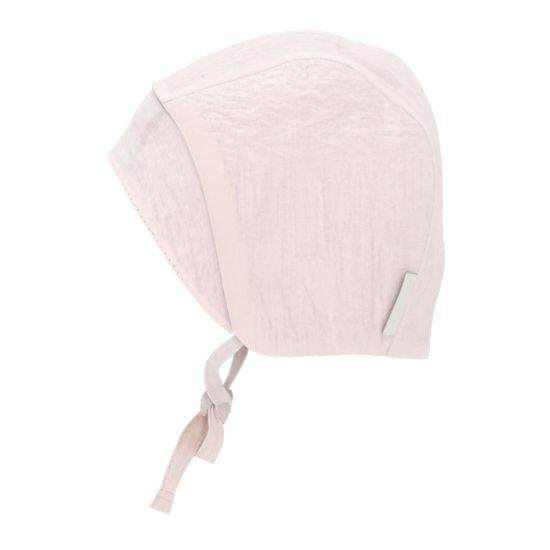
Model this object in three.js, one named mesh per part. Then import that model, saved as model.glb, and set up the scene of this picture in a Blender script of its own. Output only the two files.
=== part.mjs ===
import * as THREE from "three";

// A baby's bonnet of double gauze, with a soft brim and chin ties knotted in a half bow.
// Millimetres, +Z up. The face looks along -Y and the wearer's left is +X.
// The origin is the inside of the crown's top, where the head touches it.

// Driving sizes: the cloth walls and the gaps between them
const WALL = 1.5;
const TIE_WALL = 1.7;
const GAP = 0.3;
const BRIM_GAP = 0.9;

// How the cloth runs: the panels' swell and the brim's bow as shares of the cloth's width there,
// the reach over which a panel turns into its seam and its folds fade towards its free edge,
// and how deep the brim is tucked under the front edge, less towards the chin
const PANEL_BULGE = 0.105;
const BRIM_BOW = { middle: -0.03, sides: 0.03 };
const SEAM_BLEND = 6;
const HEM_BLEND = 1 / 6;
const BRIM_TUCK = 3.2;
const CHIN_TUCK = 1.6;

// The folded label and the knot
const LABEL = { wall: 1, reach: 8.5, offSeam: 1.3, lift: 1, turnOut: 16 };
const KNOT = { y: -48.6, z: -192, x: 3, halfDepth: 4.6, halfWidth: 8.2, halfHeight: 8.9 };

// Mesh density
const STEPS_PER_SECTION = 4;
const GUSSET_COLUMNS = 12;
const PANEL_COLUMNS = 13;
const BRIM_BANDS = 5;
const STRAP_STEPS_PER_ROW = 3;
const LABEL_STEPS = 4;
const KNOT_SIDES = { around: 16, down: 12 };

// The crown's sections, front to nape: the mid-line of the gusset and its seam with the left side panel
const CROWN = [
  { at: "front edge", midY: -81, midZ: -26.5, seamX: 44.5, seamY: -72.5, seamZ: -37.5 },
  { at: "forehead", midY: -53.5, midZ: -11.6, seamX: 43.5, seamY: -47.5, seamZ: -29 },
  { at: "crown front", midY: -27, midZ: -1.5, seamX: 42, seamY: -24, seamZ: -22 },
  { at: "top", midY: 1, midZ: 1.5, seamX: 43, seamY: -1, seamZ: -15.2 },
  { at: "dent", midY: 28, midZ: -4, seamX: 44, seamY: 20, seamZ: -18.5 },
  { at: "shoulder", midY: 49.5, midZ: -13.5, seamX: 42.5, seamY: 40, seamZ: -34.5 },
  { at: "back of crown", midY: 64.5, midZ: -41, seamX: 44.5, seamY: 58.5, seamZ: -50 },
  { at: "back", midY: 69.5, midZ: -69, seamX: 46, seamY: 64, seamZ: -71 },
  { at: "waist", midY: 69.4, midZ: -95, seamX: 46, seamY: 62.8, seamZ: -94 },
  { at: "low back", midY: 70.8, midZ: -121, seamX: 44, seamY: 56.5, seamZ: -119 },
  { at: "nape", midY: 65, midZ: -146, seamX: 41, seamY: 47.5, seamZ: -143.5 },
  { at: "neck hem", midY: 62.5, midZ: -168, seamX: 37.5, seamY: 40, seamZ: -165 },
];

// The left side panel's free edges, from the front of the seam round the chin corner to the back of it
const FRONT_EDGE = [
  { at: "seam", x: 44.5, y: -72.5, z: -37.5 },
  { at: "temple", x: 49.5, y: -62.3, z: -52.4 },
  { at: "cheekbone", x: 52.5, y: -52.8, z: -76 },
  { at: "cheek", x: 51, y: -45.8, z: -106 },
  { at: "jaw", x: 46.5, y: -40.9, z: -134 },
  { at: "chin corner", x: 42, y: -37, z: -152.5 },
];
const NECK_EDGE = [
  { at: "chin corner", x: 42, y: -37, z: -152.5 },
  { at: "curve", x: 45, y: -29.5, z: -160.2 },
  { at: "jaw hem", x: 48, y: -20.5, z: -164.4 },
  { at: "ear hem", x: 51, y: 2, z: -164.2 },
  { at: "rear hem", x: 46.5, y: 24, z: -163.8 },
  { at: "seam", x: 37.5, y: 40, z: -165 },
];
const CHIN_ROW = 24;

// The label's two ends, as rows along the seam
const LABEL_FROM_ROW = 36.9;
const LABEL_TO_ROW = 41.9;

// The brim's outer edge, from its point on the mid-line down to the chin corner
const BRIM_EDGE = [
  { at: "point", x: 0, y: -105.3, z: -64 },
  { at: "brow", x: 15, y: -102.6, z: -66.6 },
  { at: "front corner", x: 32, y: -96.6, z: -74 },
  { at: "side", x: 46, y: -88.5, z: -87 },
  { at: "widest", x: 54, y: -76, z: -105.8 },
  { at: "cheek", x: 53.5, y: -62, z: -127.2 },
  { at: "jaw", x: 47.5, y: -48, z: -144.6 },
  { at: "chin corner", x: 40.4, y: -38.4, z: -153.8 },
];

// The cloth's broad folds on each side panel, as straight hollows (depth above 0) and ridges (below 0)
const PANEL_FOLDS = [
  { at: "chin fold", fromY: -23, fromZ: -132, toY: -16, toZ: -156, width: 7, depth: 1.4 },
  { at: "jaw fold", fromY: -15, fromZ: -131, toY: -4, toZ: -158, width: 7, depth: 1.2 },
  { at: "rear ridge", fromY: 10, fromZ: -132, toY: 17, toZ: -160, width: 9, depth: -1.2 },
  { at: "crown hollow", fromY: -20, fromZ: -50, toY: 20, toZ: -44, width: 16, depth: 0.8 },
];

// The dent across the gusset, as a hollow between two places on the crown's side slopes
const GUSSET_DENT = { fromY: 21, fromZ: -7, toY: 45, toZ: -24, width: 9, depth: 2 };

// The ties, as centre points, widths and the lean of their width from +Y towards +Z in degrees.
// Each run ends at its seat on the knot, which the assembly adds.
const LEFT_TIE = [
  { at: "root under the hem", x: 39.9, y: -31.6, z: -154.4, width: 6.4, lean: -50 },
  { at: "hem corner", x: 39.1, y: -36.4, z: -158.6, width: 7.4, lean: -60 },
  { at: "turn", x: 34, y: -41.8, z: -163, width: 7.8, lean: -56 },
  { at: "under chin", x: 26, y: -45.8, z: -167, width: 7.4, lean: -42 },
  { at: "bend", x: 18.5, y: -48.6, z: -171, width: 7, lean: -26 },
  { at: "above knot", x: 11.2, y: -49.6, z: -176, width: 7, lean: -8 },
];
const RIGHT_TIE = [
  { at: "root under the hem", x: -39.9, y: -31.6, z: -154.4, width: 6.4, lean: -50 },
  { at: "hem corner", x: -39, y: -35.2, z: -158.4, width: 7.2, lean: -56 },
  { at: "under chin", x: -30, y: -36, z: -164, width: 7.2, lean: -40 },
  { at: "bend", x: -20, y: -38, z: -170, width: 7.4, lean: -24 },
  { at: "above knot", x: -9, y: -39, z: -176.4, width: 5, lean: -34 },
];
const BOW_LOOP = [
  { at: "front", x: 6.4, y: -47.4, z: -209.5, width: 8.4, lean: -8 },
  { at: "front foot", x: 4.4, y: -51.8, z: -218.6, width: 9, lean: -18 },
  { at: "foot", x: 1.2, y: -53.6, z: -221, width: 9.2, lean: -20 },
  { at: "back foot", x: -2, y: -53, z: -218, width: 9, lean: -20 },
  { at: "back", x: -2.8, y: -50.4, z: -209, width: 8.4, lean: -14 },
];
const TIE_TAIL = [
  { at: "upper", x: 3, y: -60.8, z: -208.4, width: 8.2, lean: -30 },
  { at: "middle", x: 2.6, y: -65.8, z: -219.5, width: 8.4, lean: -30 },
  { at: "lower", x: 2, y: -69.9, z: -229.5, width: 8.6, lean: -24 },
  { at: "hem line", x: 1, y: -74, z: -239.5, width: 9.6, lean: -14 },
  { at: "end", x: 0.5, y: -77.6, z: -248.4, width: 11, lean: -15 },
];

// Where each run of tie meets the knot, as directions from the knot's middle in its own half sizes,
// with the clearance of the run's middle that leaves its corners clear
const KNOT_SEATS = {
  leftTie: { x: 0.35, y: -0.05, z: 0.94, clearance: 0.4, width: 7.4, lean: -4 },
  rightTie: { x: -0.3, y: 0.66, z: 0.69, clearance: 0.8, width: 4.2, lean: -46 },
  loopFront: { x: 0.3, y: 0.22, z: -0.93, clearance: 1.4, width: 6, lean: -4 },
  loopBack: { x: -0.3, y: 0.16, z: -0.94, clearance: 1.4, width: 6, lean: -4 },
  tail: { x: -0.1, y: -0.7, z: -0.71, clearance: 0.7, width: 7, lean: -32 },
};

// Colours
const BLUSH = 0xefe0dd;
const BLUSH_SHADE = 0xe1d3d0;
const CREAM = 0xe6dfd6;

// Small helpers
const mix = THREE.MathUtils.lerp;
const radians = THREE.MathUtils.degToRad;
const point = (row) => new THREE.Vector3(row.x, row.y, row.z);
const mirrored = (p) => new THREE.Vector3(-p.x, p.y, p.z);
const smoothThrough = (points) => new THREE.CatmullRomCurve3(points, false, "centripetal");

const midLine = smoothThrough(CROWN.map((row) => new THREE.Vector3(0, row.midY, row.midZ)));
const seamLine = smoothThrough(CROWN.map((row) => new THREE.Vector3(row.seamX, row.seamY, row.seamZ)));
const frontEdge = smoothThrough(FRONT_EDGE.map(point));
const neckEdge = smoothThrough(NECK_EDGE.map(point));
const brimEdge = smoothThrough(BRIM_EDGE.map(point));
const ROWS = (CROWN.length - 1) * STEPS_PER_SECTION;

// Depth of a straight fold at a point: full along its middle, fading out over its width and its ends
function foldDepth(p, fold) {
  const alongY = fold.toY - fold.fromY;
  const alongZ = fold.toZ - fold.fromZ;
  const length = Math.hypot(alongY, alongZ);
  const along = ((p.y - fold.fromY) * alongY + (p.z - fold.fromZ) * alongZ) / length;
  const across = ((p.y - fold.fromY) * alongZ - (p.z - fold.fromZ) * alongY) / length;
  const past = Math.max(0, -along, along - length);
  return fold.depth * Math.exp(-(across * across + past * past) / (fold.width * fold.width * 0.5));
}

// The gusset's outer face: row 0 is the front edge, across runs from -1 (right seam) to 1 (left seam).
// Each section is an arc through its mid point and its two seam points.
function gussetPoint(row, across) {
  const mid = midLine.getPoint(row / ROWS);
  const seam = seamLine.getPoint(row / ROWS);
  const drop = new THREE.Vector3(0, seam.y - mid.y, seam.z - mid.z);
  const halfAngle = 2 * Math.atan2(drop.length(), seam.x);
  const radius = seam.x / Math.sin(halfAngle);
  const angle = across * halfAngle;
  const p = mid.addScaledVector(drop.normalize(), radius * (1 - Math.cos(angle)));
  p.x = radius * Math.sin(angle);
  return p;
}

// The left side panel's free edge at a row of the crown
function freeEdge(row) {
  if (row <= CHIN_ROW) return frontEdge.getPoint(row / CHIN_ROW);
  return neckEdge.getPoint((row - CHIN_ROW) / (ROWS - CHIN_ROW));
}

// The left side panel's outer face: down runs from 0 at the seam to 1 at the free edge
function panelPoint(row, down) {
  const seam = seamLine.getPoint(row / ROWS);
  const edge = freeEdge(row);
  const chord = seam.distanceTo(edge);
  const p = seam.lerp(edge, down);
  p.x += PANEL_BULGE * chord * 4 * down * (1 - down);
  return p;
}

// A face's outward normal by differences, kept just inside the face's ends
function normalOf(face, row, across, lowest) {
  const step = 0.02;
  const r = THREE.MathUtils.clamp(row, 1, ROWS - 1);
  const a = THREE.MathUtils.clamp(across, lowest + step, 1 - step);
  const alongRow = face(r + step, a).sub(face(r - step, a));
  const alongAcross = face(r, a + step).sub(face(r, a - step));
  return alongAcross.cross(alongRow).normalize();
}

const gussetNormal = (row, across) => normalOf(gussetPoint, row, across, -1);
const panelNormal = (row, down) => normalOf(panelPoint, row, down, 0);

// Where the gusset meets the left side panel: the shared slant of both cut edges, pointing outwards,
// and the step of half a gap that keeps the two edges apart
function seamJoint(row) {
  const gussetSide = gussetNormal(row, 1);
  const panelSide = panelNormal(row, 0);
  const slant = gussetSide.clone().add(panelSide).divideScalar(1 + gussetSide.dot(panelSide));
  const along = seamLine.getTangent(row / ROWS);
  const apart = along.cross(slant).normalize().multiplyScalar(GAP / 2);
  return { slant, apart };
}

// One closed solid from its corner points and triangles: equal points are joined and faces turned outwards
function closedSolid(points, triangles) {
  const known = new Map();
  const position = [];
  const joined = points.map((p) => {
    const key = [p.x, p.y, p.z].map((v) => v.toFixed(3)).join();
    if (!known.has(key)) {
      known.set(key, position.length / 3);
      position.push(p.x, p.y, p.z);
    }
    return known.get(key);
  });
  const faces = triangles.map((face) => face.map((corner) => joined[corner]));
  const whole = faces.filter(([a, b, c]) => a !== b && b !== c && c !== a);
  const at = (index) => new THREE.Vector3().fromArray(position, index * 3);
  const volume = whole.reduce((sum, [a, b, c]) => sum + at(a).dot(at(b).cross(at(c))), 0);
  const outward = volume > 0 ? whole : whole.map(([a, b, c]) => [a, c, b]);
  const geometry = new THREE.BufferGeometry();
  geometry.setAttribute("position", new THREE.Float32BufferAttribute(position, 3));
  geometry.setIndex(outward.flat());
  geometry.computeVertexNormals();
  return geometry;
}

// A closed wall between an outer and an inner grid of points
function wallBetween(outer, inner) {
  const rows = outer.length;
  const columns = outer[0].length;
  const points = [...outer.flat(), ...inner.flat()];
  const out = (i, j) => i * columns + j;
  const inn = (i, j) => rows * columns + out(i, j);
  const triangles = [];
  const quad = (a, b, c, d) => triangles.push([a, b, c], [a, c, d]);
  for (let i = 0; i < rows - 1; i++) {
    for (let j = 0; j < columns - 1; j++) {
      quad(out(i, j), out(i, j + 1), out(i + 1, j + 1), out(i + 1, j));
      quad(inn(i, j), inn(i + 1, j), inn(i + 1, j + 1), inn(i, j + 1));
    }
    quad(out(i, 0), out(i + 1, 0), inn(i + 1, 0), inn(i, 0));
    quad(out(i, columns - 1), inn(i, columns - 1), inn(i + 1, columns - 1), out(i + 1, columns - 1));
  }
  for (let j = 0; j < columns - 1; j++) {
    quad(out(0, j), inn(0, j), inn(0, j + 1), out(0, j + 1));
    quad(out(rows - 1, j), out(rows - 1, j + 1), inn(rows - 1, j + 1), inn(rows - 1, j));
  }
  return closedSolid(points, triangles);
}

// The gusset: a long strip over the crown from the forehead to the nape, with its dent behind the top
function gussetGeometry() {
  const outer = [];
  const inner = [];
  for (let row = 0; row <= ROWS; row++) {
    const { slant, apart } = seamJoint(row);
    const outerRow = [];
    const innerRow = [];
    for (let column = 0; column <= GUSSET_COLUMNS; column++) {
      const across = (2 * column) / GUSSET_COLUMNS - 1;
      const p = gussetPoint(row, across);
      let inward = gussetNormal(row, across);
      const dent = foldDepth(p, GUSSET_DENT) * (1 - across ** 4);
      p.addScaledVector(inward, -dent);
      if (Math.abs(across) === 1) {
        inward = across > 0 ? slant.clone() : mirrored(slant);
        p.sub(across > 0 ? apart : mirrored(apart));
      }
      outerRow.push(p);
      innerRow.push(p.clone().addScaledVector(inward, -WALL));
    }
    outer.push(outerRow);
    inner.push(innerRow);
  }
  return wallBetween(outer, inner);
}

// A side panel: side is 1 for the left one and -1 for the right one
function panelGeometry(side) {
  const outer = [];
  const inner = [];
  for (let row = 0; row <= ROWS; row++) {
    const { slant, apart } = seamJoint(row);
    const chord = panelPoint(row, 0).distanceTo(panelPoint(row, 1));
    const outerRow = [];
    const innerRow = [];
    for (let column = 0; column <= PANEL_COLUMNS; column++) {
      const down = column / PANEL_COLUMNS;
      const p = panelPoint(row, down);
      const normal = panelNormal(row, down);
      const nearSeam = Math.max(0, 1 - (down * chord) / SEAM_BLEND);
      const folds = PANEL_FOLDS.reduce((sum, fold) => sum + foldDepth(p, fold), 0);
      p.addScaledVector(normal, -folds * (1 - nearSeam) * Math.min(1, (1 - down) / HEM_BLEND));
      p.addScaledVector(apart, nearSeam);
      const inward = normal.lerp(slant, nearSeam);
      outerRow.push(p);
      innerRow.push(p.clone().addScaledVector(inward, -WALL));
    }
    outer.push(outerRow);
    inner.push(innerRow);
  }
  const turn = (grid) => (side > 0 ? grid : grid.map((line) => line.map(mirrored)));
  return wallBetween(turn(outer), turn(inner));
}

// The front edge's stations from the mid-line to the left chin corner: the edge point, the outward normal
// and the way back along the cloth
function frontStations() {
  const stations = [];
  const halfColumns = GUSSET_COLUMNS / 2;
  for (let column = 0; column < halfColumns; column++) {
    const across = column / halfColumns;
    const edge = gussetPoint(0, across);
    const back = gussetPoint(1, across).sub(edge).normalize();
    stations.push({ edge, normal: gussetNormal(0, across), back });
  }
  for (let row = 0; row <= CHIN_ROW; row++) {
    const normal = row === 0 ? seamJoint(0).slant : panelNormal(row, 1);
    const along = frontEdge.getTangent(row / CHIN_ROW);
    const back = row === 0 ? seamLine.getTangent(0) : normal.clone().cross(along).normalize();
    stations.push({ edge: frontEdge.getPoint(row / CHIN_ROW), normal, back });
  }
  return stations;
}

// The brim: its root is tucked under the front edge, and its cloth runs out to the outer edge
function brimGeometry() {
  const stations = frontStations();
  const lengths = [0];
  for (let k = 1; k < stations.length; k++) {
    lengths.push(lengths[k - 1] + stations[k].edge.distanceTo(stations[k - 1].edge));
  }
  const total = lengths[lengths.length - 1];
  const half = stations.map(({ edge, normal, back }, k) => {
    const seat = edge.clone().addScaledVector(normal, -(WALL + BRIM_GAP));
    const rim = brimEdge.getPointAt(lengths[k] / total);
    const bow = mix(BRIM_BOW.middle, BRIM_BOW.sides, Math.min(1, (2 * lengths[k]) / total));
    const tuck = mix(BRIM_TUCK, CHIN_TUCK, (lengths[k] / total) ** 4);
    const line = [seat.clone().addScaledVector(back, tuck), seat];
    const width = seat.distanceTo(rim);
    for (let band = 1; band <= BRIM_BANDS; band++) {
      const out = band / BRIM_BANDS;
      const p = seat.clone().lerp(rim, out);
      line.push(p.addScaledVector(normal, bow * width * 4 * out * (1 - out)));
    }
    return line;
  });
  const outer = [...half.slice(1).reverse().map((line) => line.map(mirrored)), ...half];
  const inner = outer.map((line, i) => line.map((p, j) => {
    const before = outer[Math.max(0, i - 1)][j];
    const after = outer[Math.min(outer.length - 1, i + 1)][j];
    const rootward = line[Math.max(0, j - 1)];
    const rimward = line[Math.min(line.length - 1, j + 1)];
    const normal = rimward.clone().sub(rootward).cross(after.clone().sub(before)).normalize();
    return p.clone().addScaledVector(normal, -WALL);
  }));
  return wallBetween(outer, inner);
}

// A seat just off the knot's skin, as a row of a strap's table
function knotSeat({ x, y, z, clearance, width, lean }) {
  const outward = new THREE.Vector3(x / KNOT.halfDepth, y / KNOT.halfWidth, z / KNOT.halfHeight).normalize();
  const skin = new THREE.Vector3(x * KNOT.halfDepth, y * KNOT.halfWidth, z * KNOT.halfHeight);
  const seat = skin.add(KNOT).addScaledVector(outward, clearance);
  return { x: seat.x, y: seat.y, z: seat.z, width, lean };
}

// A flat strap through a table of centre points, widths and leans
function strapGeometry(rows) {
  const path = smoothThrough(rows.map(point));
  const steps = (rows.length - 1) * STRAP_STEPS_PER_ROW;
  const outer = [];
  const inner = [];
  for (let step = 0; step <= steps; step++) {
    const place = step / steps;
    const from = Math.min(rows.length - 2, Math.floor(place * (rows.length - 1)));
    const part = place * (rows.length - 1) - from;
    const width = mix(rows[from].width, rows[from + 1].width, part);
    const lean = radians(mix(rows[from].lean, rows[from + 1].lean, part));
    const tangent = path.getTangent(place);
    const across = new THREE.Vector3(0, Math.cos(lean), Math.sin(lean));
    across.addScaledVector(tangent, -across.dot(tangent)).normalize();
    const normal = tangent.clone().cross(across).normalize();
    const centre = path.getPoint(place);
    const row = [-0.5, 0.5].map((s) => centre.clone().addScaledVector(across, s * width));
    outer.push(row.map((p) => p.clone().addScaledVector(normal, TIE_WALL / 2)));
    inner.push(row.map((p) => p.clone().addScaledVector(normal, -TIE_WALL / 2)));
  }
  return wallBetween(outer, inner);
}

// The knot: one flattened lump of wrapped cloth
function knotGeometry() {
  const geometry = new THREE.SphereGeometry(1, KNOT_SIDES.around, KNOT_SIDES.down);
  geometry.deleteAttribute("normal");
  geometry.deleteAttribute("uv");
  geometry.rotateX(Math.PI / 2);
  geometry.scale(KNOT.halfDepth, KNOT.halfWidth, KNOT.halfHeight);
  geometry.translate(KNOT.x, KNOT.y, KNOT.z);
  const position = geometry.getAttribute("position");
  const points = [];
  for (let i = 0; i < position.count; i++) {
    points.push(new THREE.Vector3().fromBufferAttribute(position, i));
  }
  const triangles = [];
  for (let i = 0; i < geometry.index.count; i += 3) {
    triangles.push([0, 1, 2].map((k) => geometry.index.getX(i + k)));
  }
  return closedSolid(points, triangles);
}

// The folded label: caught in the low back of the left seam and standing off the side panel
function labelGeometry() {
  const outer = [];
  const inner = [];
  for (let step = 0; step <= LABEL_STEPS; step++) {
    const row = mix(LABEL_FROM_ROW, LABEL_TO_ROW, step / LABEL_STEPS);
    const { slant } = seamJoint(row);
    const along = seamLine.getTangent(row / ROWS);
    const flat = along.clone().cross(slant).normalize();
    const reach = flat.clone().multiplyScalar(Math.cos(radians(LABEL.turnOut)));
    reach.addScaledVector(slant, Math.sin(radians(LABEL.turnOut))).normalize();
    const side = reach.clone().cross(along).normalize();
    const root = seamLine.getPoint(row / ROWS).addScaledVector(flat, LABEL.offSeam);
    root.addScaledVector(slant, LABEL.lift);
    const line = [root, root.clone().addScaledVector(reach, LABEL.reach)];
    outer.push(line.map((p) => p.clone().addScaledVector(side, LABEL.wall / 2)));
    inner.push(line.map((p) => p.clone().addScaledVector(side, -LABEL.wall / 2)));
  }
  return wallBetween(outer, inner);
}

// The assembly
const bonnet = new THREE.Group();

function addPiece(name, geometry, color, roughness = 0.95) {
  const material = new THREE.MeshStandardMaterial({ color, roughness, metalness: 0 });
  const mesh = new THREE.Mesh(geometry, material);
  mesh.name = name;
  bonnet.add(mesh);
}

addPiece("gusset", gussetGeometry(), BLUSH);
addPiece("left_side_panel", panelGeometry(1), BLUSH);
addPiece("right_side_panel", panelGeometry(-1), BLUSH);
addPiece("brim", brimGeometry(), BLUSH);
addPiece("left_tie", strapGeometry([...LEFT_TIE, knotSeat(KNOT_SEATS.leftTie)]), BLUSH_SHADE);
addPiece("right_tie", strapGeometry([...RIGHT_TIE, knotSeat(KNOT_SEATS.rightTie)]), BLUSH_SHADE);
addPiece("tie_knot", knotGeometry(), BLUSH_SHADE);
const loopRows = [knotSeat(KNOT_SEATS.loopFront), ...BOW_LOOP, knotSeat(KNOT_SEATS.loopBack)];
addPiece("bow_loop", strapGeometry(loopRows), BLUSH_SHADE);
addPiece("tie_tail", strapGeometry([knotSeat(KNOT_SEATS.tail), ...TIE_TAIL]), BLUSH);
addPiece("seam_label", labelGeometry(), CREAM, 0.8);

export default bonnet;
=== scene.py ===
"""A baby's bonnet of double gauze with a soft brim and knotted chin ties, for Blender 4.5.

Lengths are millimetres here and metres on the objects. +Z is up, the face looks along -Y and the
wearer's left is +X. The tables of the cut are the CAD model's own, and the cloth is built on them
again with its folds, crinkles, hems and stitches.
"""

import math

import bmesh
import bpy
import numpy as np
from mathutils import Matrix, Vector


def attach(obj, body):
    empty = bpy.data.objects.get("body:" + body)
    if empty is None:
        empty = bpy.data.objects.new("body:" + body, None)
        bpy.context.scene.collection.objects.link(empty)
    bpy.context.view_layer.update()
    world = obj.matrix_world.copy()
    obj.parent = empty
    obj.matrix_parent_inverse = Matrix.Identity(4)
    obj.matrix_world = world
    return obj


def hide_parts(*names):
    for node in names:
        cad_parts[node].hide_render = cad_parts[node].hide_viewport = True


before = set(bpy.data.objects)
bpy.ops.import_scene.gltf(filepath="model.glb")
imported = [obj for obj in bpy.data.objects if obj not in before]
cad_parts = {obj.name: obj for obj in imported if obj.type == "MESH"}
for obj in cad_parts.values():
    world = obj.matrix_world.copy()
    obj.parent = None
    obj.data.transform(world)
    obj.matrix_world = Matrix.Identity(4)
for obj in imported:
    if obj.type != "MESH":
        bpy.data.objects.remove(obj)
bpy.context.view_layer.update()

MM = 0.001

# The camera, level with the side of the hat and a little behind it
TARGET = (0, -17.2, -125.0)
CAMERA_DISTANCE = 1300
CAMERA_AZIMUTH = 92
CAMERA_ELEVATION = 2
FRAME_WIDTH = 286
SENSOR_WIDTH = 36
FAR_CLIP = 50000

# The stage and its lights
FLOOR_Z = -420
FLOOR_HALF = 6000
WORLD_LIGHT = 1.03
KEY = {"direction": (0.8, -0.12, 0.72), "distance": 500, "size": 161, "power": 0.242}
SKY = {"direction": (0.1, 0.1, 1), "distance": 1300, "size": 900, "power": 2.3, "colour": (0.5, 0.78, 1)}

# Thickness of the bonnet's wall and of its ties
WALL = 1.1
TIE_WALL = 1.7

# The seams: gap, wander, tightness of their round edges, and how wide both walls turn to meet
SEAM_GAP = 0.035
SEAM_WANDER = 0.45
SEAM_TIGHTNESS = 2.9
SEAM_BLEND = 6

# The side panels: bulge, and how far the folds fade at the hems, as shares of their depth
PANEL_BULGE = 0.105
HEM_BLEND = 1 / 6

# The brim: gap under the front edge, what the gusset's corners add to it, bow, tuck and roll
BRIM_GAP = 0.42
CORNER_GAP = 1.0
CORNER_SPREAD = 16
BRIM_BOW = {"middle": -0.055, "sides": 0.03}
BRIM_TUCK = 4
CHIN_TUCK = 1.6
BRIM_ROLL = 0.75

# Rows of the crown's tables, and the row at which the panel's free edge turns the chin corner
ROWS = 44
CHIN_ROW = 24

# Mesh density
PANEL_GRID = (290, 146)
GUSSET_GRID = (300, 112)
BRIM_GRID = (330, 52)
TAPE_COLUMNS = 34
TAPE_STEP = 0.45
KNOT_STEPS = 60
KNOT_VOXEL = 0.34
KNOT_SOFTENINGS = 4
LABEL_GRID = (60, 64)
THREAD_SIDES = 8
MERGE_DISTANCE = 0.02

# Seeds that pieces share
SEAM_SEED = 5
STITCH_SEED = 97

# The crown's sections, front to nape: the mid-line's y and z, and the left seam's x, y and z
CROWN = np.array([
    (-81, -26.5, 44.5, -72.5, -37.5),
    (-53.5, -11.6, 43.5, -47.5, -29),
    (-27, -1.5, 42, -24, -22),
    (1, 1.5, 43, -1, -15.2),
    (28, -4, 44, 20, -18.5),
    (49.5, -13.5, 42.5, 40, -34.5),
    (64.5, -41, 44.5, 58.5, -50),
    (69.5, -69, 46, 64, -71),
    (69.4, -95, 46, 62.8, -94),
    (70.8, -121, 44, 56.5, -119),
    (65, -146, 41, 47.5, -143.5),
    (62.5, -168, 37.5, 40, -165),
])

# Points of the left panel's free borders and of the brim's outer edge
FRONT_EDGE = [
    (44.5, -72.5, -37.5), (49.5, -62.3, -52.4), (52.5, -52.8, -76),
    (51, -45.8, -106), (46.5, -40.9, -134), (42, -37, -152.5),
]
NECK_EDGE = [
    (42, -37, -152.5), (45, -29.5, -160.2), (48, -20.5, -164.4),
    (51, 2, -164.2), (46.5, 24, -163.8), (37.5, 40, -165),
]
BRIM_EDGE = [
    (0, -105.3, -64), (15, -102.6, -66.6), (32, -96.6, -74), (46, -88.5, -87),
    (54, -76, -105.8), (53.5, -62, -127.2), (47.5, -48, -144.6), (40.4, -38.4, -153.8),
]

# Straight folds of a side panel: from y, z to y, z, width and depth, a ridge where the depth is below 0
PANEL_FOLDS = [
    (-23, -132, -16, -156, 7, 0.8),
    (-15, -131, -4, -158, 7, 0.7),
    (10, -132, 17, -160, 9, -0.8),
    (-20, -50, 20, -44, 16, 0.8),
]

# Its creases, in the same form, which come up slowly from their first end
PANEL_CREASES = [
    (-26.4, -123, -15.4, -156, 1.5, 0.5),
    (-15.3, -121, -3.8, -157, 1.5, 0.55),
    (-2.8, -123, 8.1, -149, 1.5, 0.5),
    (10.6, -134, 15.6, -162, 1.8, -0.6),
    (33, -84, 33.6, -152, 1.6, 0.55),
    (37, -108, 38.1, -136, 1.5, 0.5),
]

# The gusset's dent behind the crown and its creases, in the same form, alike on both sides
GUSSET_DENT = (21, -7, 45, -24, 9, 2)
GUSSET_CREASES = [
    (17, -7.5, 46, -28, 2.8, 1.6),
    (28, -21, 41, -32, 2.4, 1.1),
    (53, -150, 57, -160, 5, 0.8),
    (74, -120, 66, -148, 7, 1.3),
    (60, -153, 57, -168, 5, 1.1),
]

# Runs of the ties: rows of x, y, z, width and its lean from +Y towards +Z in degrees, from the knot on
NEAR_TIE = [
    (4.6, -43.4, -195.6, 5.6, 24), (7, -43.2, -193.2, 7.6, 22), (9, -44, -190, 9.4, 18),
    (10.2, -46.2, -186.4, 9.8, 11), (10.6, -48.5, -181.8, 9.3, 3), (12.8, -49.6, -176, 8.1, -6),
    (18.5, -48.6, -171, 7.8, -26), (26, -45.8, -167, 7.8, -42), (34, -41.8, -163, 7.9, -56),
    (39.1, -36.4, -158.6, 7.4, -60), (39.9, -31.6, -154.4, 6.4, -50),
]
FAR_TIE = [
    (-1, -44.6, -187.2, 3.6, -46), (-2.6, -43.2, -184.4, 3.6, -42), (-5.2, -41, -180.2, 4.2, -32),
    (-8.4, -38.8, -175.4, 5.2, -24), (-13, -37, -170.4, 6.4, -20), (-20.5, -35.8, -165.8, 7.4, -26),
    (-29.5, -35, -161.8, 7.4, -34), (-37, -33.8, -157.8, 7, -44), (-39.9, -31.6, -154.4, 6.4, -50),
]
LOOP = [
    (5.2, -49.6, -190.6, 3.6, -2), (6.6, -49.2, -195.6, 5, -2), (7, -48.4, -200.2, 6.6, -3),
    (7.2, -47.4, -204.6, 7.8, -5), (7, -48.3, -210.4, 9.6, -10),
    (5, -51.8, -217.6, 10.4, -20), (1.4, -54.2, -220.7, 10.8, -24), (-2.6, -54.6, -217, 10.6, -24),
    (-4.6, -54, -209.4, 10.4, -26), (-3.8, -51.4, -201.6, 8.4, -24), (-1.2, -49, -197.6, 6, -20),
]
TAIL = [
    (1.8, -51.4, -197, 8.4, -32), (2.4, -55.4, -202.2, 10.4, -32), (3.4, -60.4, -209.2, 11.4, -31),
    (5.2, -64, -216.6, 10.8, -30), (5.4, -68, -224.5, 9.8, -27), (4.4, -71.2, -232, 9, -20),
    (3, -73.2, -237.6, 8.6, -15), (2.2, -75, -242.2, 10.2, -16), (1.4, -77.7, -248.4, 12, -17),
]

# How far the far tie's doubled part reaches from its root, and the tail's hem from its end
FAR_HEM = 24.5
TAIL_HEM = 11.2

# Creases and ridges of the tail beside the knot, in the form of a panel's folds
TAIL_CREASES = [
    (-54.6, -195.5, -56.2, -207.5, 2.4, -0.6),
    (-57.6, -198.5, -61.5, -206, 2.2, 0.7),
    (-52.4, -198, -53.6, -207, 2.6, 0.8),
]

# A gathered tape: pleats over its width, and how far they run from the knot
GATHER_PLEATS = 2.5
GATHER_REACH = 17

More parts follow.
